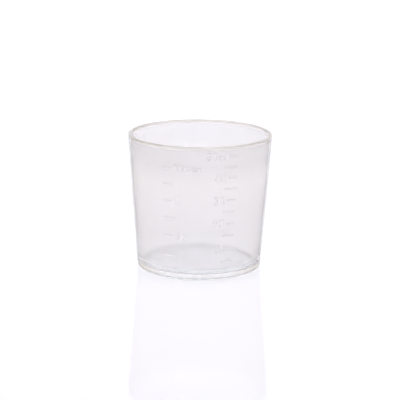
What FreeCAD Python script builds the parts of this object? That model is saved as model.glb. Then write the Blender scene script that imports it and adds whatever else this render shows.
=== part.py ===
import FreeCAD, Part
import math
import os
import Sketcher

# Graduated sampler cup: one tapered translucent moulding with raised volume scales.
# The cup stands on the plane Z = 0 with its axis on Z, and its scales face -Y, the front.
# All sizes are in millimetres and volumes in millilitres.

Vector = FreeCAD.Vector

CUBIC_MM_PER_ML = 1000.0
ML_PER_FLUID_OUNCE = 29.5735

# Driving dimensions: alias, value, what it is.
DIMENSIONS = [
    ("rim_diameter", 47.0, "outside diameter of the wall's line at the lip"),
    ("base_diameter", 40.5, "outside diameter of the wall's line at the table"),
    ("cup_height", 44.2, "table to lip"),
    ("rim_wall", 1.6, "wall, measured level, at the lip"),
    ("floor_wall", 1.8, "wall, measured level, at the floor"),
    ("floor_thickness", 1.8, "table to the inside floor"),
    ("lip_radius", 0.5, "rounding of both edges of the lip"),
    ("floor_fillet", 1.2, "inside corner between wall and floor"),
    ("foot_radius", 1.0, "rounding of the outside bottom edge"),
    ("foot_ring_width", 2.4, "width of the ring that the cup stands on, rounding included"),
    ("recess_depth", 0.5, "hollow under the floor"),
    ("recess_fillet", 0.4, "rounding at the top of that hollow"),
    ("gate_diameter", 2.4, "stub left by the moulding gate, under the floor"),
    ("gate_face_diameter", 1.92, "diameter of the lower face of that stub"),
    ("gate_height", 0.3, "height of that stub, less than the hollow's depth"),
    ("mark_relief", 0.25, "how far the raised marks stand off the wall"),
    ("mark_root", 0.3, "how deep the marks reach into the wall, to fuse with it"),
    ("mark_stroke", 0.45, "stroke width of ticks and figures"),
    ("figure_height", 2.7, "height of a full figure"),
    ("small_height", 2.0, "height of the figures of a fraction and of the unit signs"),
    ("letter_gap", 0.33, "clear space between two figures"),
    ("word_gap", 0.75, "clear space between a number and what follows it"),
    ("lip_clearance", 0.1, "least clear wall between a figure and the rounding of the lip"),
    ("text_azimuth", 21.0, "degrees from the front to the outer end of each scale's figures"),
    ("numbered_tick_azimuth", 23.5, "degrees from the front to the inner end of a numbered tick"),
    ("short_tick_azimuth", 20.5, "degrees from the front to the inner end of the ticks between"),
    ("tick_end_azimuth", 31.0, "degrees from the front to the outer end of every tick"),
]

ML_NUMBERED = [10, 20, 30, 40, 50]
ML_BETWEEN = [5, 15, 25, 35, 45]
OUNCES_NUMBERED = [0.5, 1.0, 1.5]
OUNCES_BETWEEN = [0.25, 0.75, 1.25]

FRONT_AZIMUTH = -90.0

# The figures are cut from prisms that start well inside the wall and end well outside it, at
# these shares of the base radius and the rim radius.
PRISM_START = 0.75
PRISM_END = 1.1

# Lengths this close are the same.
SAME = 1e-3


# ---------------------------------------------------------------- document and sheet

def make_sheet(doc):
    """The sheet of driving dimensions, one aliased cell each."""
    sheet = doc.addObject("Spreadsheet::Sheet", "dims")
    for row, (alias, value, meaning) in enumerate(DIMENSIONS, start=1):
        sheet.set(f"A{row}", alias)
        sheet.set(f"B{row}", str(value))
        sheet.set(f"C{row}", meaning)
        sheet.setAlias(f"B{row}", alias)
    doc.recompute()
    return sheet


class Sizes:
    """Numbers from the sheet, and what follows from them."""

    def __init__(self, sheet):
        for alias, _, _ in DIMENSIONS:
            setattr(self, alias, float(sheet.get(alias)))
        self.outer_slope = (self.rim_diameter - self.base_diameter) / 2 / self.cup_height
        self.inner_rim_radius = self.rim_diameter / 2 - self.rim_wall
        self.inner_floor_radius = self.outer_radius(self.floor_thickness) - self.floor_wall
        self.depth = self.cup_height - self.floor_thickness
        self.inner_slope = (self.inner_rim_radius - self.inner_floor_radius) / self.depth

    def outer_radius(self, height):
        return self.base_diameter / 2 + self.outer_slope * height

    def fill_height(self, millilitres):
        """Height above the table that a volume of liquid reaches, from the volume of a cone's slice."""
        slope, start = self.inner_slope, self.inner_floor_radius
        corner = (1 - math.pi / 4) * self.floor_fillet**2 * 2 * math.pi * start
        volume = millilitres * CUBIC_MM_PER_ML + corner
        reached = (start**3 + 3 * slope * volume / math.pi) ** (1 / 3)
        return self.floor_thickness + (reached - start) / slope


def make_levels(doc, sizes):
    """A second sheet: the height of each graduation, worked out from the cavity's volume."""
    sheet = doc.addObject("Spreadsheet::Sheet", "levels")
    rows = [(ml_alias(v), v) for v in sorted(ML_NUMBERED + ML_BETWEEN)]
    rows += [(oz_alias(v), v * ML_PER_FLUID_OUNCE) for v in sorted(OUNCES_NUMBERED + OUNCES_BETWEEN)]
    for row, (alias, volume) in enumerate(rows, start=1):
        sheet.set(f"A{row}", alias)
        sheet.set(f"B{row}", f"{sizes.fill_height(volume):.4f}")
        sheet.setAlias(f"B{row}", alias)
    doc.recompute()
    return sheet


def ml_alias(volume):
    return f"level_ml_{volume}"


def oz_alias(ounces):
    return f"level_oz_{round(ounces * 100):03d}_hundredths"


# ---------------------------------------------------------------- sketches

def origin_plane(body, role):
    return next(f for f in body.Origin.OriginFeatures if f.Role == role)


def profile_sketch(doc, body, name, outlines, azimuth_expression=None):
    """A sketch in the body's XZ plane, whose local x is the radius and local y the height.

    Each outline is a list of (radius, height) expressions, and every corner is tied to them.
    azimuth_expression turns the sketch about the cup's axis, in degrees from +X.
    """
    sketch = body.newObject("Sketcher::SketchObject", name)
    sketch.AttachmentSupport = [(origin_plane(body, "XZ_Plane"), "")]
    sketch.MapMode = "FlatFace"
    if azimuth_expression:
        # The expression gives the angle: this gives the axis.
        sketch.AttachmentOffset = FreeCAD.Placement(Vector(), FreeCAD.Rotation(Vector(0, 1, 0), 1))
        sketch.setExpression("AttachmentOffset.Rotation.Angle", azimuth_expression)
    for outline in outlines:
        add_outline(sketch, outline)
    doc.recompute()
    return sketch


def add_outline(sketch, outline):
    """A closed outline of straight edges whose corners follow their expressions."""
    corners = [tuple(float(sketch.evalExpression(e)) for e in corner) for corner in outline]
    first = sketch.GeometryCount
    count = len(corners)
    for i, (x, y) in enumerate(corners):
        next_x, next_y = corners[(i + 1) % count]
        sketch.addGeometry(Part.LineSegment(Vector(x, y, 0), Vector(next_x, next_y, 0)))
    for i in range(count):
        sketch.addConstraint(
            Sketcher.Constraint("Coincident", first + i, 2, first + (i + 1) % count, 1)
        )
    for i, ((x, y), (x_expression, y_expression)) in enumerate(zip(corners, outline)):
        tie(sketch, "DistanceX", first + i, x, x_expression)
        tie(sketch, "DistanceY", first + i, y, y_expression)


def tie(sketch, kind, edge, value, expression):
    """Holds an edge's start at a distance from the sketch's origin, or on its axis for zero."""
    if abs(value) < SAME:
        axis = -2 if kind == "DistanceX" else -1
        sketch.addConstraint(Sketcher.Constraint("PointOnObject", edge, 1, axis))
        return
    index = sketch.addConstraint(Sketcher.Constraint(kind, -1, 1, edge, 1, value))
    sketch.setExpression(f"Constraints[{index}]", expression)


def turn(doc, body, sketch, kind, name, angle_expression=None):
    """Revolves a sketch about the cup's axis: a full turn, or a stretch centred on the sketch."""
    feature = body.newObject(kind, name)
    feature.Profile = sketch
    feature.ReferenceAxis = (sketch, ["V_Axis"])
    feature.Angle = 360.0
    if angle_expression:
        feature.Midplane = True
        feature.setExpression("Angle", angle_expression)
    doc.recompute()
    return feature


def round_edges(doc, body, base, name, places, radius_expression):
    """Fillets the circular edges of base that lie at the given (radius, height) places."""
    found = []
    for number, edge in enumerate(base.Shape.Edges, start=1):
        curve = edge.Curve
        if not isinstance(curve, Part.Circle):
            continue
        for radius, height in places:
            if abs(curve.Radius - radius) < SAME and abs(curve.Center.z - height) < SAME:
                found.append(f"Edge{number}")
    if len(found) != len(places):
        raise RuntimeError(f"{name}: found {len(found)} edges for {len(places)} places")
    fillet = body.newObject("PartDesign::Fillet", name)
    fillet.Base = (base, found)
    fillet.setExpression("Radius", radius_expression)
    doc.recompute()
    return fillet


# ---------------------------------------------------------------- the moulding

OUTER_SLOPE = "(dims.rim_diameter - dims.base_diameter) / 2 / dims.cup_height"
INNER_RIM = "dims.rim_diameter / 2 - dims.rim_wall"
INNER_FLOOR = f"dims.base_diameter / 2 + {OUTER_SLOPE} * dims.floor_thickness - dims.floor_wall"
RECESS_RADIUS = "dims.base_diameter / 2 - dims.foot_ring_width"


def wall_radius(height, proud="0"):
    """Expression for the outside radius at a height, and proud of it."""
    return f"dims.base_diameter / 2 + {OUTER_SLOPE} * ({height}) + ({proud})"


def make_moulding(doc, sizes):
    """The cup's plain shell: tapered wall, floor, rounded lip and a foot ring round a hollow."""
    body = doc.addObject("PartDesign::Body", "moulding")

    blank = profile_sketch(doc, body, "blank_profile", [[
        ("0", "0"),
        ("dims.base_diameter / 2", "0"),
        ("dims.rim_diameter / 2", "dims.cup_height"),
        ("0", "dims.cup_height"),
    ]])
    turn(doc, body, blank, "PartDesign::Revolution", "blank")

    cavity = profile_sketch(doc, body, "cavity_profile", [[
        ("0", "dims.floor_thickness"),
        (INNER_FLOOR, "dims.floor_thickness"),
        (INNER_RIM, "dims.cup_height"),
        ("0", "dims.cup_height"),
    ]])
    turn(doc, body, cavity, "PartDesign::Groove", "cavity")

    recess = profile_sketch(doc, body, "recess_profile", [[
        ("0", "0"),
        (RECESS_RADIUS, "0"),
        (RECESS_RADIUS, "dims.recess_depth"),
        ("0", "dims.recess_depth"),
    ]])
    hollow = turn(doc, body, recess, "PartDesign::Groove", "foot_recess")

    recess_radius = sizes.base_diameter / 2 - sizes.foot_ring_width
    lip = round_edges(doc, body, hollow, "lip_rounding", [
        (sizes.rim_diameter / 2, sizes.cup_height),
        (sizes.inner_rim_radius, sizes.cup_height),
    ], "dims.lip_radius")
    corner = round_edges(doc, body, lip, "floor_corner", [
        (sizes.inner_floor_radius, sizes.floor_thickness),
    ], "dims.floor_fillet")
    foot = round_edges(doc, body, corner, "foot_rounding", [
        (sizes.base_diameter / 2, 0.0),
    ], "dims.foot_radius")
    round_edges(doc, body, foot, "recess_rounding", [
        (recess_radius, sizes.recess_depth),
    ], "dims.recess_fillet")

    gate = profile_sketch(doc, body, "gate_profile", [[
        ("0", "dims.recess_depth - dims.gate_height"),
        ("dims.gate_face_diameter / 2", "dims.recess_depth - dims.gate_height"),
        ("dims.gate_diameter / 2", "dims.recess_depth"),
        ("dims.gate_diameter / 2", "(dims.recess_depth + dims.floor_thickness) / 2"),
        ("0", "(dims.recess_depth + dims.floor_thickness) / 2"),
    ]])
    turn(doc, body, gate, "PartDesign::Revolution", "gate_stub")
    return body


def make_ticks(doc, name, aliases, azimuth_expression, sweep_expression):
    """Ticks of one length: a raised bar across the wall at each level, in a body of its own."""
    body = doc.addObject("PartDesign::Body", name)
    outlines = []
    for alias in aliases:
        low = f"levels.{alias} - dims.mark_stroke / 2"
        high = f"levels.{alias} + dims.mark_stroke / 2"
        outlines.append([
            (wall_radius(low, "-dims.mark_root"), low),
            (wall_radius(low, "dims.mark_relief"), low),
            (wall_radius(high, "dims.mark_relief"), high),
            (wall_radius(high, "-dims.mark_root"), high),
        ])
    sketch = profile_sketch(doc, body, name + "_profile", outlines, azimuth_expression)
    turn(doc, body, sketch, "PartDesign::Revolution", name + "_bars", sweep_expression)
    return body


# ---------------------------------------------------------------- figures

def line(x0, y0, x1, y1):
    return ("line", (x0, y0), (x1, y1))


def arc(x, y, radius, start, end):
    """An arc about (x, y) from start to end, in degrees, anticlockwise."""
    return ("arc", (x, y), radius, start, end)


# Each character's width and the middle lines of its strokes, for middle lines 1 high.
CHARACTERS = {
    "0": (0.50, [arc(0.25, 0.75, 0.25, 0, 180), arc(0.25, 0.25, 0.25, 180, 360),
                 line(0, 0.25, 0, 0.75), line(0.50, 0.25, 0.50, 0.75)]),
    "1": (0.26, [line(0.26, 0, 0.26, 1), line(0.26, 1, 0, 0.76)]),
    "2": (0.50, [arc(0.25, 0.75, 0.25, -35, 170), line(0.455, 0.607, 0, 0),
                 line(0, 0, 0.50, 0)]),
    "3": (0.50, [arc(0.25, 0.75, 0.25, -90, 160), arc(0.25, 0.25, 0.25, 200, 450)]),
    "4": (0.50, [line(0.36, 0, 0.36, 1), line(0.36, 1, 0, 0.30), line(0, 0.30, 0.50, 0.30)]),
    "5": (0.50, [line(0.46, 1, 0.06, 1), line(0.06, 1, 0.035, 0.49),
                 arc(0.23, 0.28, 0.28, -145, 135)]),
    "m": (0.66, [line(0, 0, 0, 0.64), arc(0.165, 0.475, 0.165, 0, 180),
                 line(0.33, 0, 0.33, 0.475), arc(0.495, 0.475, 0.165, 0, 180),
                 line(0.66, 0, 0.66, 0.475)]),
    "l": (0.0, [line(0, 0, 0, 1)]),
    "o": (0.52, [arc(0.26, 0.38, 0.26, 0, 180), arc(0.26, 0.26, 0.26, 180, 360),
                 line(0, 0.26, 0, 0.38), line(0.52, 0.26, 0.52, 0.38)]),
    "z": (0.46, [line(0, 0.64, 0.46, 0.64), line(0.46, 0.64, 0, 0), line(0, 0, 0.46, 0)]),
    "/": (0.36, [line(0, 0, 0.36, 1)]),
}


def straight_stroke(start, end, width):
    """A flat bar with round ends, along a line."""
    along = (end - start).normalize() * (width / 2)
    side = Vector(-along.y, along.x, 0)
    return Part.Face(Part.Wire([
        Part.LineSegment(start + side, end + side).toShape(),
        Part.Arc(end + side, end + along, end - side).toShape(),
        Part.LineSegment(end - side, start - side).toShape(),
        Part.Arc(start - side, start - along, start + side).toShape(),
    ]))


def spoke(centre, degrees, length):
    """The point at a distance and an angle from a centre."""
    angle = math.radians(degrees)
    return centre + Vector(math.cos(angle), math.sin(angle), 0) * length


def bent_stroke(centre, radius, start, end, width):
    """A flat bent bar with round ends, along an arc."""
    outer = radius + width / 2
    inner = radius - width / 2
    middle = (start + end) / 2
    start_tip = spoke(spoke(centre, start, radius), start - 90, width / 2)
    end_tip = spoke(spoke(centre, end, radius), end + 90, width / 2)
    return Part.Face(Part.Wire([
        Part.Arc(*(spoke(centre, a, outer) for a in (start, middle, end))).toShape(),
        Part.Arc(spoke(centre, end, outer), end_tip, spoke(centre, end, inner)).toShape(),
        Part.Arc(*(spoke(centre, a, inner) for a in (end, middle, start))).toShape(),
        Part.Arc(spoke(centre, start, inner), start_tip, spoke(centre, start, outer)).toShape(),
    ]))


def character_width(character, height, stroke):
    return CHARACTERS[character][0] * (height - stroke) + stroke


def character_faces(character, left, bottom, height, stroke):
    """The overlapping flat strokes of one character, whose lower left corner is given."""
    scale = height - stroke
    corner = Vector(left + stroke / 2, bottom + stroke / 2, 0)
    faces = []
    for kind, *facts in CHARACTERS[character][1]:
        if kind == "line":
            start, end = (corner + Vector(x, y, 0) * scale for x, y in facts)
            faces.append(straight_stroke(start, end, stroke))
        else:
            (x, y), radius, start, end = facts
            centre = corner + Vector(x, y, 0) * scale
            faces.append(bent_stroke(centre, radius * scale, start, end, stroke))
    return faces


def row_width(words, sizes):
    """Width of a row of (text, height) words."""
    total = sizes.word_gap * (len(words) - 1)
    for text, height in words:
        total += sum(character_width(c, height, sizes.mark_stroke) for c in text)
        total += sizes.letter_gap * (len(text) - 1)
    return total


def row_solids(words, middle_height, outer_azimuth, sizes):
    """A row of words cut through the wall, its outer end at an azimuth right of the front.

    The row is drawn flat, about a middle height, then stood up facing outwards.
    """
    width = row_width(words, sizes)
    half_sweep = math.degrees(width / 2 / sizes.outer_radius(middle_height))
    azimuth = outer_azimuth - math.copysign(half_sweep, outer_azimuth)
    upright = FreeCAD.Rotation(Vector(1, 0, 0), 90)
    turned = FreeCAD.Rotation(Vector(0, 0, 1), azimuth)
    reach_in = sizes.base_diameter / 2 * PRISM_START
    reach_out = sizes.rim_diameter / 2 * PRISM_END
    stand_up = FreeCAD.Placement(Vector(), turned.multiply(upright))
    stand_up = stand_up.multiply(FreeCAD.Placement(Vector(0, 0, reach_in), FreeCAD.Rotation()))
    solids = []
    left = -width / 2
    for text, height in words:
        for character in text:
            bottom = middle_height - height / 2
            faces = character_faces(character, left, bottom, height, sizes.mark_stroke)
            strokes = [face.extrude(Vector(0, 0, reach_out - reach_in)) for face in faces]
            solid = strokes[0]
            if len(strokes) > 1:
                solid = solid.fuse(strokes[1:]).removeSplitter()
            solid.Placement = stand_up.multiply(solid.Placement)
            solids.append(solid)
            left += character_width(character, height, sizes.mark_stroke) + sizes.letter_gap
        left += sizes.word_gap - sizes.letter_gap
    return solids


def make_figures(doc, sizes):
    """Both scales' figures and unit signs as prisms that run right through the wall."""
    tall = sizes.figure_height
    small = sizes.small_height
    below_lip = sizes.cup_height - sizes.lip_radius - tall / 2 - sizes.lip_clearance
    solids = []
    for volume in ML_NUMBERED:
        words = [(str(volume), tall)]
        if volume == ML_NUMBERED[-1]:
            words.append(("ml", small))
        level = min(sizes.fill_height(volume), below_lip)
        solids += row_solids(words, level, sizes.text_azimuth, sizes)
    for ounces in OUNCES_NUMBERED:
        words = [("1", tall)] if ounces >= 1 else []
        if ounces % 1:
            words.append(("1/2", small))
        if ounces == OUNCES_NUMBERED[-1]:
            words.append(("oz", small))
        level = sizes.fill_height(ounces * ML_PER_FLUID_OUNCE)
        solids += row_solids(words, level, -sizes.text_azimuth, sizes)
    feature = doc.addObject("Part::Feature", "figure_prisms")
    feature.Shape = Part.makeCompound(solids)
    return feature


def make_skin(doc):
    """The thin conical layer that the figures are cut from: from inside the wall to the relief."""
    def cone(name, proud):
        feature = doc.addObject("Part::Cone", name)
        feature.setExpression("Radius1", f"dims.base_diameter / 2 + ({proud})")
        feature.setExpression("Radius2", f"dims.rim_diameter / 2 + ({proud})")
        feature.setExpression("Height", "dims.cup_height")
        return feature

    skin = doc.addObject("Part::Cut", "mark_skin")
    skin.Base = cone("skin_outside", "dims.mark_relief")
    skin.Tool = cone("skin_inside", "-dims.mark_root")
    doc.recompute()
    return skin


# ---------------------------------------------------------------- assembly and export

def make_cup(doc, sizes):
    """The finished cup: the moulding with every raised mark fused to its wall."""
    ticks = []
    for name, aliases, side, start in [
        ("ml_numbered_ticks", map(ml_alias, ML_NUMBERED), 1, "dims.numbered_tick_azimuth"),
        ("ml_short_ticks", map(ml_alias, ML_BETWEEN), 1, "dims.short_tick_azimuth"),
        ("oz_numbered_ticks", map(oz_alias, OUNCES_NUMBERED), -1, "dims.numbered_tick_azimuth"),
        ("oz_short_ticks", map(oz_alias, OUNCES_BETWEEN), -1, "dims.short_tick_azimuth"),
    ]:
        middle = f"{side} * ({start} + dims.tick_end_azimuth) / 2 + {FRONT_AZIMUTH}"
        sweep = f"dims.tick_end_azimuth - {start}"
        ticks.append(make_ticks(doc, name, list(aliases), middle, sweep))

    figures = doc.addObject("Part::Common", "figures")
    figures.Base = make_figures(doc, sizes)
    figures.Tool = make_skin(doc)

    cup = doc.addObject("Part::MultiFuse", "cup")
    cup.Shapes = [make_moulding(doc, sizes), figures, *ticks]
    cup.Refine = True
    cup.Label = "cup"
    doc.recompute()
    return cup


def check(doc, sub_parts):
    """Stops the build if any object failed, or a sub-part isn't a valid closed solid."""
    for thing in doc.Objects:
        if {"Invalid", "Error"} & set(thing.State):
            raise RuntimeError(f"{thing.Name} failed: {thing.State}")
    for part in sub_parts:
        shape = part.Shape
        if shape.isNull() or not shape.isValid() or not shape.Solids:
            raise RuntimeError(f"{part.Label} has no valid solid")


def main():
    doc = FreeCAD.newDocument("sampler_cup")
    sizes = Sizes(make_sheet(doc))
    make_levels(doc, sizes)
    sub_parts = [make_cup(doc, sizes)]
    check(doc, sub_parts)
    os.makedirs("parts", exist_ok=True)
    for part in sub_parts:
        part.Shape.exportStep(f"parts/{part.Label}.step")
        box = part.Shape.BoundBox
        print(
            f"{part.Label}: {len(part.Shape.Solids)} solid, {len(part.Shape.Faces)} faces, "
            f"{part.Shape.Volume / CUBIC_MM_PER_ML:.2f} ml of plastic, "
            f"{box.XLength:.2f} x {box.YLength:.2f} x {box.ZLength:.2f} mm"
        )


main()
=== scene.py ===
import math

import bpy
import numpy as np
from mathutils import Matrix, Vector


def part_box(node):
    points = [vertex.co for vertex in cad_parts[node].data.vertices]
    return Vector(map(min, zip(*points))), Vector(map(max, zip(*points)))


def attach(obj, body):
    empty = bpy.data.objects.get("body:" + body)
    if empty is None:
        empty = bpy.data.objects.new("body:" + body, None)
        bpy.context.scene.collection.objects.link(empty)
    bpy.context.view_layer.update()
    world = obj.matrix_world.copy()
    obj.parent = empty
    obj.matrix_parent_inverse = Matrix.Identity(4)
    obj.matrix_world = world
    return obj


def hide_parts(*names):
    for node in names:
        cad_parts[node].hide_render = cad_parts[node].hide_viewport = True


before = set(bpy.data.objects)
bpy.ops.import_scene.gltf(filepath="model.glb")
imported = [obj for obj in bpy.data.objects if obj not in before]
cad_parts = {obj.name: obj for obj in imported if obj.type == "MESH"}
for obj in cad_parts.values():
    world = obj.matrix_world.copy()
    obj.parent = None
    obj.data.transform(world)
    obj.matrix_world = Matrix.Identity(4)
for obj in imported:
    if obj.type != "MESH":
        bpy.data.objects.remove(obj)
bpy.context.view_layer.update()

# ---------------------------------------------------------------- sizes, in metres

MM = 0.001
LOW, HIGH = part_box("cup")
HEIGHT = HIGH.z - LOW.z

RIM_RADIUS = 23.5 * MM
BASE_RADIUS = 20.25 * MM
RIM_WALL = 1.6 * MM
FLOOR_WALL = 1.8 * MM
FLOOR_THICKNESS = 1.8 * MM
LIP_ROUNDING = 0.5 * MM
FLOOR_FILLET = 1.2 * MM
FOOT_ROUNDING = 1.0 * MM
FOOT_RING = 2.4 * MM
RECESS_DEPTH = 0.5 * MM
RECESS_FILLET = 0.392 * MM
EDGE_ROUNDING = 0.06 * MM
GATE_RADIUS = 1.2 * MM
GATE_FACE_RADIUS = 0.96 * MM
GATE_HEIGHT = 0.3 * MM

MARK_RELIEF = 0.25 * MM
MARK_STROKE = 0.45 * MM
MARK_FLANK = 0.22 * MM
FIGURE_HEIGHT = 2.7 * MM
SMALL_HEIGHT = 2.0 * MM
LETTER_GAP = 0.33 * MM
WORD_GAP = 0.75 * MM
LIP_CLEARANCE = 0.1 * MM

OUTER_SLOPE = (RIM_RADIUS - BASE_RADIUS) / HEIGHT
INNER_RIM = RIM_RADIUS - RIM_WALL
INNER_FLOOR = BASE_RADIUS + OUTER_SLOPE * FLOOR_THICKNESS - FLOOR_WALL

# Where the scales stand, in degrees right of the front, as mirrored for the left scale.
TEXT_END = 21.0
NUMBERED_TICK = 23.5
SHORT_TICK = 20.5
TICK_END = 31.0

CUBIC_METRES_PER_ML = 1e-6
ML_PER_FLUID_OUNCE = 29.5735
ML_NUMBERED = [10, 20, 30, 40, 50]
ML_BETWEEN = [5, 15, 25, 35, 45]
OUNCES_NUMBERED = [0.5, 1.0, 1.5]
OUNCES_BETWEEN = [0.25, 0.75, 1.25]

# The mesh: coarse columns all round, fine ones and fine rows where the marks stand.
COLUMNS = 240
PATCH_COLUMNS = 44
FINE_PER_COLUMN = 5
ROW = 1.0 * MM
FINE_PER_ROW = 7
ARC_STEP = math.radians(12)
ON_AXIS = 1e-9

# The short step beside each of the profile's arcs, as a share of its radius, and its limit.
LEAD_SHARE = 0.25
LONGEST_LEAD = 0.1 * MM

# Light that runs along inside the thick foot and the rim bounces many times.
LIGHT_BOUNCES = 48


# ---------------------------------------------------------------- the cup's profile

def rounded_profile(corners):
    """Points of an open profile of (radius, height, rounding) corners, each rounded by an arc.

    A short step stands on either side of each arc, so that the shading of a long run stays flat.
    """
    points = [Vector(corners[0][:2])]
    for before, corner, after in zip(corners, corners[1:], corners[2:]):
        here = Vector(corner[:2])
        back = (Vector(before[:2]) - here).normalized()
        on = (Vector(after[:2]) - here).normalized()
        half = back.angle(on) / 2
        setback = corner[2] / math.tan(half)
        centre = here + (back + on).normalized() * corner[2] / math.sin(half)
        start = here + back * setback
        end = here + on * setback
        sweep = math.pi - 2 * half
        steps = max(2, math.ceil(sweep / ARC_STEP))
        turn = (start - centre).angle_signed(end - centre)
        lead = min(LEAD_SHARE * corner[2], LONGEST_LEAD)
        points.append(start + back * lead)
        for i in range(steps + 1):
            points.append(centre + Matrix.Rotation(-turn * i / steps, 2) @ (start - centre))
        points.append(end + on * lead)
    points.append(Vector(corners[-1][:2]))
    return points


def cup_profile():
    """From the middle of the underside, round the foot, up the outside, over the lip and down."""
    recess_radius = BASE_RADIUS - FOOT_RING
    gate_face = RECESS_DEPTH - GATE_HEIGHT
    return rounded_profile([
        (0, gate_face, 0),
        (GATE_FACE_RADIUS, gate_face, EDGE_ROUNDING),
        (GATE_RADIUS, RECESS_DEPTH, EDGE_ROUNDING),
        (recess_radius, RECESS_DEPTH, RECESS_FILLET),
        (recess_radius, 0, EDGE_ROUNDING),
        (BASE_RADIUS, 0, FOOT_ROUNDING),
        (RIM_RADIUS, HEIGHT, LIP_ROUNDING),
        (INNER_RIM, HEIGHT, LIP_ROUNDING),
        (INNER_FLOOR, FLOOR_THICKNESS, FLOOR_FILLET),
        (0, FLOOR_THICKNESS, 0),
    ])


def outer_radius(height):
    return BASE_RADIUS + OUTER_SLOPE * height


def fill_height(millilitres):
    """Height above the table that a volume of liquid reaches in the cavity."""
    slope = (INNER_RIM - INNER_FLOOR) / (HEIGHT - FLOOR_THICKNESS)
    corner = (1 - math.pi / 4) * FLOOR_FILLET**2 * 2 * math.pi * INNER_FLOOR
    volume = millilitres * CUBIC_METRES_PER_ML + corner
    reached = (INNER_FLOOR**3 + 3 * slope * volume / math.pi) ** (1 / 3)
    return FLOOR_THICKNESS + (reached - INNER_FLOOR) / slope


# ---------------------------------------------------------------- the raised marks

def line(x0, y0, x1, y1):
    return ("line", (x0, y0), (x1, y1))


def arc(x, y, radius, start, end):
    """An arc about (x, y) from start to end, in degrees, anticlockwise."""
    return ("arc", (x, y), radius, start, end)


# Each character's width and the middle lines of its strokes, for middle lines 1 high.
CHARACTERS = {
    "0": (0.50, [arc(0.25, 0.75, 0.25, 0, 180), arc(0.25, 0.25, 0.25, 180, 360),
                 line(0, 0.25, 0, 0.75), line(0.50, 0.25, 0.50, 0.75)]),
    "1": (0.26, [line(0.26, 0, 0.26, 1), line(0.26, 1, 0, 0.76)]),
    "2": (0.50, [arc(0.25, 0.75, 0.25, -35, 170), line(0.455, 0.607, 0, 0),
                 line(0, 0, 0.50, 0)]),
    "3": (0.50, [arc(0.25, 0.75, 0.25, -90, 160), arc(0.25, 0.25, 0.25, 200, 450)]),
    "4": (0.50, [line(0.36, 0, 0.36, 1), line(0.36, 1, 0, 0.30), line(0, 0.30, 0.50, 0.30)]),
    "5": (0.50, [line(0.46, 1, 0.06, 1), line(0.06, 1, 0.035, 0.49),
                 arc(0.23, 0.28, 0.28, -145, 135)]),
    "m": (0.66, [line(0, 0, 0, 0.64), arc(0.165, 0.475, 0.165, 0, 180),
                 line(0.33, 0, 0.33, 0.475), arc(0.495, 0.475, 0.165, 0, 180),
                 line(0.66, 0, 0.66, 0.475)]),
    "l": (0.0, [line(0, 0, 0, 1)]),
    "o": (0.52, [arc(0.26, 0.38, 0.26, 0, 180), arc(0.26, 0.26, 0.26, 180, 360),
                 line(0, 0.26, 0, 0.38), line(0.52, 0.26, 0.52, 0.38)]),
    "z": (0.46, [line(0, 0.64, 0.46, 0.64), line(0.46, 0.64, 0, 0), line(0, 0, 0.46, 0)]),
    "/": (0.36, [line(0, 0, 0.36, 1)]),
}


def distance_to_line(x, y, start, end):
    """Distance of points to a line, as arrays."""
    along_x, along_y = end[0] - start[0], end[1] - start[1]
    length_squared = along_x**2 + along_y**2
    share = ((x - start[0]) * along_x + (y - start[1]) * along_y) / length_squared
    share = np.clip(share, 0, 1)
    return np.hypot(x - start[0] - share * along_x, y - start[1] - share * along_y)


def distance_to_arc(x, y, centre, radius, start, end):
    """Distance of points to an arc, as arrays."""
    away_x, away_y = x - centre[0], y - centre[1]
    angle = np.degrees(np.arctan2(away_y, away_x))
    past_start = (angle - start) % 360
    on_arc = past_start <= end - start
    to_circle = np.abs(np.hypot(away_x, away_y) - radius)
    to_tips = np.full_like(x, np.inf)
    for degrees in (start, end):
        tip = math.radians(degrees)
        to_tip = np.hypot(away_x - radius * math.cos(tip), away_y - radius * math.sin(tip))
        to_tips = np.minimum(to_tips, to_tip)
    return np.where(on_arc, to_circle, to_tips)


def character_width(character, height):
    return CHARACTERS[character][0] * (height - MARK_STROKE) + MARK_STROKE


def row_width(words):
    """Width of a row of (text, height) words."""
    total = WORD_GAP * (len(words) - 1)
    for text, height in words:
        total += sum(character_width(c, height) for c in text) + LETTER_GAP * (len(text) - 1)
    return total


def row_distance(angle, height, words, middle_height, side):
    """Distance of wall points to the strokes of a row of words, drawn flat and facing outwards.

    side is 1 for the right scale and -1 for the left one. The row's outer end is at TEXT_END.
    """
    width = row_width(words)
    wall = outer_radius(middle_height)
    middle = side * (math.radians(TEXT_END) - width / 2 / wall)
    x = outer_radius(height) * np.sin(angle - middle)
    y = height - middle_height
    nearest = np.full_like(x, np.inf)
    left = -width / 2
    for text, tall in words:
        scale = tall - MARK_STROKE
        for character in text:
            local_x = (x - left - MARK_STROKE / 2) / scale
            local_y = (y + tall / 2 - MARK_STROKE / 2) / scale
            for kind, *facts in CHARACTERS[character][1]:
                measure = distance_to_line if kind == "line" else distance_to_arc
                nearest = np.minimum(nearest, measure(local_x, local_y, *facts) * scale)
            left += character_width(character, tall) + LETTER_GAP
        left += WORD_GAP - LETTER_GAP
    return nearest


def tick_distance(angle, height, level, start, side):
    """Distance of wall points to the middle line of a tick across the wall."""
    wall = outer_radius(level)
    x = wall * angle * side
    inset = MARK_STROKE / 2
    near = wall * math.radians(start) + inset
    far = wall * math.radians(TICK_END) - inset
    return distance_to_line(x, height, (near, level), (far, level))


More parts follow.
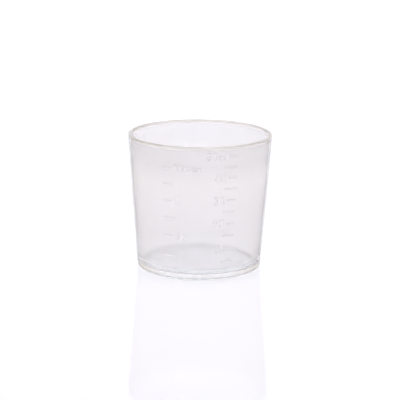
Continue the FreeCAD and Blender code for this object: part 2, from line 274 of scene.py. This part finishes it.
def mark_relief(angle, height):
    """How far the marks stand off the wall at points given by angle from the front and height."""
    nearest = np.full_like(angle, np.inf)

    def keep(distance):
        np.minimum(nearest, distance, out=nearest)

    below_lip = HEIGHT - LIP_ROUNDING - FIGURE_HEIGHT / 2 - LIP_CLEARANCE
    for volume in ML_NUMBERED + ML_BETWEEN:
        numbered = volume in ML_NUMBERED
        level = fill_height(volume)
        keep(tick_distance(angle, height, level, NUMBERED_TICK if numbered else SHORT_TICK, 1))
        if numbered:
            words = [(str(volume), FIGURE_HEIGHT)]
            if volume == ML_NUMBERED[-1]:
                words.append(("ml", SMALL_HEIGHT))
            keep(row_distance(angle, height, words, min(level, below_lip), 1))
    for ounces in OUNCES_NUMBERED + OUNCES_BETWEEN:
        numbered = ounces in OUNCES_NUMBERED
        level = fill_height(ounces * ML_PER_FLUID_OUNCE)
        keep(tick_distance(angle, height, level, NUMBERED_TICK if numbered else SHORT_TICK, -1))
        if numbered:
            words = [("1", FIGURE_HEIGHT)] if ounces >= 1 else []
            if ounces % 1:
                words.append(("1/2", SMALL_HEIGHT))
            if ounces == OUNCES_NUMBERED[-1]:
                words.append(("oz", SMALL_HEIGHT))
            keep(row_distance(angle, height, words, level, -1))

    inside = (MARK_STROKE / 2 + MARK_FLANK / 2 - nearest) / MARK_FLANK
    inside = np.clip(inside, 0, 1)
    return MARK_RELIEF * inside**2 * (3 - 2 * inside)


# ---------------------------------------------------------------- the cup's mesh

def wall_rows(profile):
    """The profile with the outer wall cut into rows, and the first and last row of the patch."""
    lengths = [(b - a).length for a, b in zip(profile, profile[1:])]
    wall = next(
        i for i, (a, b) in enumerate(zip(profile, profile[1:]))
        if b.y - a.y > HEIGHT / 2
    )
    start, end = profile[wall], profile[wall + 1]
    count = round(lengths[wall] / ROW)
    rows = [start.lerp(end, i / count) for i in range(1, count)]
    return profile[: wall + 1] + rows + profile[wall + 1:], wall, wall + count


def cup_mesh():
    """A closed lathed shell whose front carries a fine patch with the raised marks."""
    profile, first, last = wall_rows(cup_profile())
    patch_start = COLUMNS // 4 * 3 - PATCH_COLUMNS // 2
    patch_end = patch_start + PATCH_COLUMNS
    verts = []
    faces = []

    def add(radius, height, turn):
        verts.append((radius * math.cos(turn), radius * math.sin(turn), height))
        return len(verts) - 1

    # Rings of coarse columns, with one vertex where the profile meets the axis.
    rings = []
    for point in profile:
        if point.x < ON_AXIS:
            rings.append([add(0, point.y, 0)] * COLUMNS)
        else:
            rings.append([
                add(point.x, point.y, 2 * math.pi * c / COLUMNS) for c in range(COLUMNS)
            ])

    # The patch's vertices, on rings of its own except where they fall on a coarse ring's column.
    fine_columns = PATCH_COLUMNS * FINE_PER_COLUMN
    fine_rows = (last - first) * FINE_PER_ROW
    turns = [
        2 * math.pi * (patch_start + c / FINE_PER_COLUMN) / COLUMNS for c in range(fine_columns + 1)
    ]
    heights = []
    for row in range(fine_rows + 1):
        whole, part = divmod(row, FINE_PER_ROW)
        low = profile[first + whole]
        high = profile[min(first + whole + 1, last)]
        heights.append(low.y + (high.y - low.y) * part / FINE_PER_ROW)
    angle_grid, height_grid = np.meshgrid(np.array(turns) - 1.5 * math.pi, np.array(heights))
    relief = mark_relief(angle_grid, height_grid)
    patch = []
    for row, height in enumerate(heights):
        line_of_verts = []
        for column, turn in enumerate(turns):
            shared = (
                column % FINE_PER_COLUMN == 0
                and row % FINE_PER_ROW == 0
                and (row in (0, fine_rows) or column in (0, fine_columns))
            )
            if shared:
                ring = rings[first + row // FINE_PER_ROW]
                line_of_verts.append(ring[patch_start + column // FINE_PER_COLUMN])
            else:
                radius = outer_radius(height) + relief[row, column]
                line_of_verts.append(add(radius, height, turn))
        patch.append(line_of_verts)
    for row in range(fine_rows):
        for column in range(fine_columns):
            faces.append((
                patch[row][column], patch[row][column + 1],
                patch[row + 1][column + 1], patch[row + 1][column],
            ))

    def fine_edge(ring, column):
        """The patch's vertices along one coarse edge of its bottom or top ring."""
        row = 0 if ring == first else fine_rows
        start = (column - patch_start) * FINE_PER_COLUMN
        return patch[row][start:start + FINE_PER_COLUMN + 1]

    def side_edge(ring, column):
        """The patch's vertices along one coarse row of its left or right side."""
        fine = 0 if column == patch_start else fine_columns
        start = (ring - first) * FINE_PER_ROW
        return [patch[row][fine] for row in range(start, start + FINE_PER_ROW + 1)]

    for ring in range(len(rings) - 1):
        on_patch_rows = first <= ring < last
        for column in range(COLUMNS):
            in_patch_columns = patch_start <= column < patch_end
            if on_patch_rows and in_patch_columns:
                continue
            after = (column + 1) % COLUMNS
            below = [rings[ring][column], rings[ring][after]]
            above = [rings[ring + 1][column], rings[ring + 1][after]]
            right_side = []
            left_side = []
            if in_patch_columns and ring + 1 == first:
                above = fine_edge(first, column)
            if in_patch_columns and ring == last:
                below = fine_edge(last, column)
            if on_patch_rows and after == patch_start:
                right_side = side_edge(ring, after)[1:-1]
            if on_patch_rows and column == patch_end:
                left_side = side_edge(ring, column)[1:-1]
            loop = below + right_side + above[::-1] + left_side[::-1]
            faces.append(tuple(dict.fromkeys(loop)))

    # Coarse vertices inside the patch belong to no face.
    used = sorted({v for face in faces for v in face})
    renumber = {old: new for new, old in enumerate(used)}
    mesh = bpy.data.meshes.new("cup_shell")
    mesh.from_pydata([verts[v] for v in used], [], [tuple(renumber[v] for v in f) for f in faces])
    mesh.shade_smooth()
    mesh.update()
    return mesh


# ---------------------------------------------------------------- materials

class Nodes:
    """A short way to add and link a material's or world's nodes."""

    def __init__(self, owner):
        owner.use_nodes = True
        self.tree = owner.node_tree
        self.tree.nodes.clear()

    def add(self, kind, **values):
        """Adds a node and sets its inputs by name, or a property where no input has that name."""
        node = self.tree.nodes.new(kind)
        for name, value in values.items():
            label = name.replace("_", " ")
            matches = [s for s in node.inputs if s.name.lower() == label.lower()]
            if matches:
                matches[0].default_value = value
            else:
                setattr(node, name, value)
        return node

    def link(self, source, target):
        self.tree.links.new(source, target)


def ramp(nodes, source, low, high, to_low, to_high):
    """Maps a value from one range to another, held at both ends."""
    node = nodes.add(
        "ShaderNodeMapRange", From_Min=low, From_Max=high, To_Min=to_low, To_Max=to_high
    )
    nodes.link(source, node.inputs["Value"])
    return node.outputs["Result"]


# A colour Mix node has a pair of sockets for each kind of value: these are its colour ones.
FIRST_COLOR = 6
SECOND_COLOR = 7
MIXED_COLOR = 2


def multiply(nodes, first, second):
    """Multiplies two colours."""
    mix = nodes.add("ShaderNodeMix", data_type="RGBA", blend_type="MULTIPLY")
    mix.inputs["Factor"].default_value = 1.0
    nodes.link(first, mix.inputs[FIRST_COLOR])
    nodes.link(second, mix.inputs[SECOND_COLOR])
    return mix.outputs[MIXED_COLOR]


def fade(nodes, source, low, high, low_color, high_color):
    """A colour that changes smoothly as a value goes from low to high."""
    share = nodes.add(
        "ShaderNodeMapRange", From_Min=low, From_Max=high, interpolation_type="SMOOTHSTEP"
    )
    nodes.link(source, share.inputs["Value"])
    mix = nodes.add("ShaderNodeMix", data_type="RGBA")
    mix.inputs[FIRST_COLOR].default_value = (*low_color, 1)
    mix.inputs[SECOND_COLOR].default_value = (*high_color, 1)
    nodes.link(share.outputs["Result"], mix.inputs["Factor"])
    return mix.outputs[MIXED_COLOR]


# How the plastic's tint changes with height, in millimetres: bluish in the thick foot, almost
# white up the wall, and a little greyer near the rim. The grey near the rim is painted shade,
# standing for the darker band that light and the two walls seen there give.
TINTS_AND_PAINTED_RIM_SHADE = [
    (2.0, (0.97, 0.98, 1.0)),
    (8.0, (0.99, 0.985, 1.0)),
    (20.0, (0.985, 0.98, 1.0)),
    (31.5, (1.0, 0.985, 0.992)),
    (37.5, (0.892, 0.892, 0.912)),
]

# The share of light that goes straight through. The foot clears, and the lip turns milkier,
# between two heights each, in millimetres.
FOOT_CLEARNESS = 1.0
WALL_CLEARNESS = 0.85
LIP_LOSS = 0.3
CLEAR_FOOT = (1.6, 4.5)
MILKY_LIP = (43.0, 43.7)

# The slow noise that varies the plastic, and what it varies.
CLOUD_SCALE = 90.0
CLOUDS = (0.3, 0.7)
STREAK_TONES = (0.985, 1.0)
ROUGHNESSES = (0.10, 0.14)

# The fine grain of the surface.
GRAIN_SCALE = 2600.0
GRAIN_STRENGTH = 0.15
GRAIN_DEPTH = 0.02 * MM

# How the plastic bends light, how far light scatters in it, and what it absorbs per metre.
PLASTIC_IOR = 1.49
SCATTER_LENGTH = 2.0 * MM
ABSORPTION_COLOR = (0.6, 0.52, 0.3, 1)
ABSORPTION_DENSITY = 4.0


def polypropylene():
    """Natural polypropylene: see-through but milky, finely textured, and hazier in places."""
    material = bpy.data.materials.new("natural_polypropylene")
    nodes = Nodes(material)
    shader = nodes.add(
        "ShaderNodeBsdfPrincipled", IOR=PLASTIC_IOR, Subsurface_Weight=1.0,
        Subsurface_Scale=SCATTER_LENGTH,
    )
    shader.inputs["Subsurface Radius"].default_value = (1.0, 1.0, 1.0)
    output = nodes.add("ShaderNodeOutputMaterial")
    nodes.link(shader.outputs["BSDF"], output.inputs["Surface"])
    absorption = nodes.add(
        "ShaderNodeVolumeAbsorption", Color=ABSORPTION_COLOR, Density=ABSORPTION_DENSITY
    )
    nodes.link(absorption.outputs["Volume"], output.inputs["Volume"])

    place = nodes.add("ShaderNodeTexCoord").outputs["Object"]
    parts = nodes.add("ShaderNodeSeparateXYZ")
    nodes.link(place, parts.inputs["Vector"])
    height = parts.outputs["Z"]
    clouds = nodes.add("ShaderNodeTexNoise", Scale=CLOUD_SCALE, Detail=3.0)
    nodes.link(place, clouds.inputs["Vector"])
    grain = nodes.add("ShaderNodeTexNoise", Scale=GRAIN_SCALE, Detail=2.0)
    nodes.link(place, grain.inputs["Vector"])

    # The colour by height carries painted shade: the greyer band near the rim stands for shade, not
    # for the plastic.
    tint_and_rim_shade = nodes.add("ShaderNodeValToRGB")
    stops = tint_and_rim_shade.color_ramp.elements
    while len(stops) < len(TINTS_AND_PAINTED_RIM_SHADE):
        stops.new(1.0)
    for stop, (level, color) in zip(stops, TINTS_AND_PAINTED_RIM_SHADE):
        stop.position = level * MM / HEIGHT
        stop.color = (*color, 1)
    nodes.link(ramp(nodes, height, 0.0, HEIGHT, 0.0, 1.0), tint_and_rim_shade.inputs["Fac"])
    streaks = ramp(nodes, clouds.outputs["Fac"], *CLOUDS, *STREAK_TONES)
    nodes.link(multiply(nodes, tint_and_rim_shade.outputs["Color"], streaks), shader.inputs["Base Color"])

    foot_top = [level * MM for level in CLEAR_FOOT]
    lip_base = [level * MM for level in MILKY_LIP]
    body = ramp(nodes, height, *foot_top, FOOT_CLEARNESS, WALL_CLEARNESS)
    lip = ramp(nodes, height, *lip_base, 0.0, LIP_LOSS)
    clear = nodes.add("ShaderNodeMath", operation="SUBTRACT")
    nodes.link(body, clear.inputs[0])
    nodes.link(lip, clear.inputs[1])
    nodes.link(clear.outputs["Value"], shader.inputs["Transmission Weight"])

    haze = ramp(nodes, clouds.outputs["Fac"], *CLOUDS, *ROUGHNESSES)
    nodes.link(haze, shader.inputs["Roughness"])

    bump = nodes.add("ShaderNodeBump", Strength=GRAIN_STRENGTH, Distance=GRAIN_DEPTH)
    nodes.link(grain.outputs["Fac"], bump.inputs["Height"])
    nodes.link(bump.outputs["Normal"], shader.inputs["Normal"])
    return material


# The table's own reflection is weak, and its glow stands for light from below.
TABLE_COLOR = (0.2, 0.2, 0.2, 1)
TABLE_ROUGHNESS = 0.04
TABLE_IOR = 1.5
TABLE_METALLIC = 0.4
GLOW_COLOR = (1.0, 0.995, 1.075, 1)
GLOW_STRENGTH = 0.68


def table_gloss():
    """A glossy white table top, lit from below."""
    material = bpy.data.materials.new("table_gloss")
    nodes = Nodes(material)
    shader = nodes.add(
        "ShaderNodeBsdfPrincipled", Base_Color=TABLE_COLOR, Roughness=TABLE_ROUGHNESS,
        IOR=TABLE_IOR, Metallic=TABLE_METALLIC, Emission_Color=GLOW_COLOR,
        Emission_Strength=GLOW_STRENGTH,
    )
    output = nodes.add("ShaderNodeOutputMaterial")
    nodes.link(shader.outputs["BSDF"], output.inputs["Surface"])
    return material


# ---------------------------------------------------------------- the object

def make_cup():
    cup = bpy.data.objects.new("cup_moulding", cup_mesh())
    bpy.context.scene.collection.objects.link(cup)
    cup.data.materials.append(polypropylene())
    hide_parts("cup")
    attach(cup, "root")
    return cup


# ---------------------------------------------------------------- stage, light and camera

TABLE_HALF_WIDTH = 4.0
TABLE_DROP = 0.03 * MM


def make_table():
    """A wide table top, a hair under the cup so that the two faces don't coincide."""
    half = TABLE_HALF_WIDTH
    drop = TABLE_DROP
    mesh = bpy.data.meshes.new("table")
    mesh.from_pydata(
        [(-half, -half, -drop), (half, -half, -drop), (half, half, -drop), (-half, half, -drop)],
        [], [(0, 1, 2, 3)],
    )
    table = bpy.data.objects.new("table", mesh)
    bpy.context.scene.collection.objects.link(table)
    mesh.materials.append(table_gloss())


# The colours of the light, and where one gives way to the next: how far a direction points
# aside, either way, and how far it points to the back.
MIDDLE_LIGHT = (1.0, 1.0, 1.02)
SIDE_LIGHT = (0.86, 0.79, 0.67)
SIDE_SPAN = (0.35, 0.95)
FRONT_LIGHT = (1.07, 0.97, 0.83)
BACK_LIGHT = (1.0, 1.0, 1.04)
DEPTH_SPAN = (-0.3, 0.5)
LIGHT_STRENGTH = 1.07


def make_world():
    """Soft studio light from all round: cool from behind, warm in front, dimmer at the sides."""
    world = bpy.data.worlds.new("studio")
    bpy.context.scene.world = world
    nodes = Nodes(world)
    background = nodes.add("ShaderNodeBackground", Strength=LIGHT_STRENGTH)
    output = nodes.add("ShaderNodeOutputWorld")
    nodes.link(background.outputs["Background"], output.inputs["Surface"])
    way = nodes.add("ShaderNodeSeparateXYZ")
    nodes.link(nodes.add("ShaderNodeTexCoord").outputs["Generated"], way.inputs["Vector"])
    aside = nodes.add("ShaderNodeMath", operation="ABSOLUTE")
    nodes.link(way.outputs["X"], aside.inputs[0])
    sides = fade(nodes, aside.outputs["Value"], *SIDE_SPAN, MIDDLE_LIGHT, SIDE_LIGHT)
    depth = fade(nodes, way.outputs["Y"], *DEPTH_SPAN, FRONT_LIGHT, BACK_LIGHT)
    nodes.link(multiply(nodes, sides, depth), background.inputs["Color"])


CAMERA_DISTANCE = 0.5
CAMERA_ELEVATION = math.radians(14.1)
CAMERA_ROLL = math.radians(0.62)
AIM_ASIDE = 0.18 * MM
AIM_BELOW_MIDDLE = 0.40 * MM
FOCAL_LENGTH = 137.0
SENSOR_WIDTH = 36.0
NEAREST = 0.01
FARTHEST = 20.0


def make_camera():
    """A long lens half a metre off, looking down a little, as at a product on a table."""
    aim = Vector((AIM_ASIDE, 0, HEIGHT / 2 - AIM_BELOW_MIDDLE))
    back = Vector((0, -math.cos(CAMERA_ELEVATION), math.sin(CAMERA_ELEVATION)))
    data = bpy.data.cameras.new("camera")
    data.lens = FOCAL_LENGTH
    data.sensor_width = SENSOR_WIDTH
    data.clip_start = NEAREST
    data.clip_end = FARTHEST
    camera = bpy.data.objects.new("camera", data)
    bpy.context.scene.collection.objects.link(camera)
    facing = (-back).to_track_quat("-Z", "Y").to_matrix().to_4x4()
    place = Matrix.Translation(aim + back * CAMERA_DISTANCE)
    camera.matrix_world = place @ facing @ Matrix.Rotation(CAMERA_ROLL, 4, "Z")
    bpy.context.scene.camera = camera


make_camera()
make_world()
make_table()
make_cup()
bpy.context.scene.view_settings.view_transform = "Standard"
for kind in ("max_bounces", "transmission_bounces", "glossy_bounces", "diffuse_bounces"):
    setattr(bpy.context.scene.cycles, kind, LIGHT_BOUNCES)
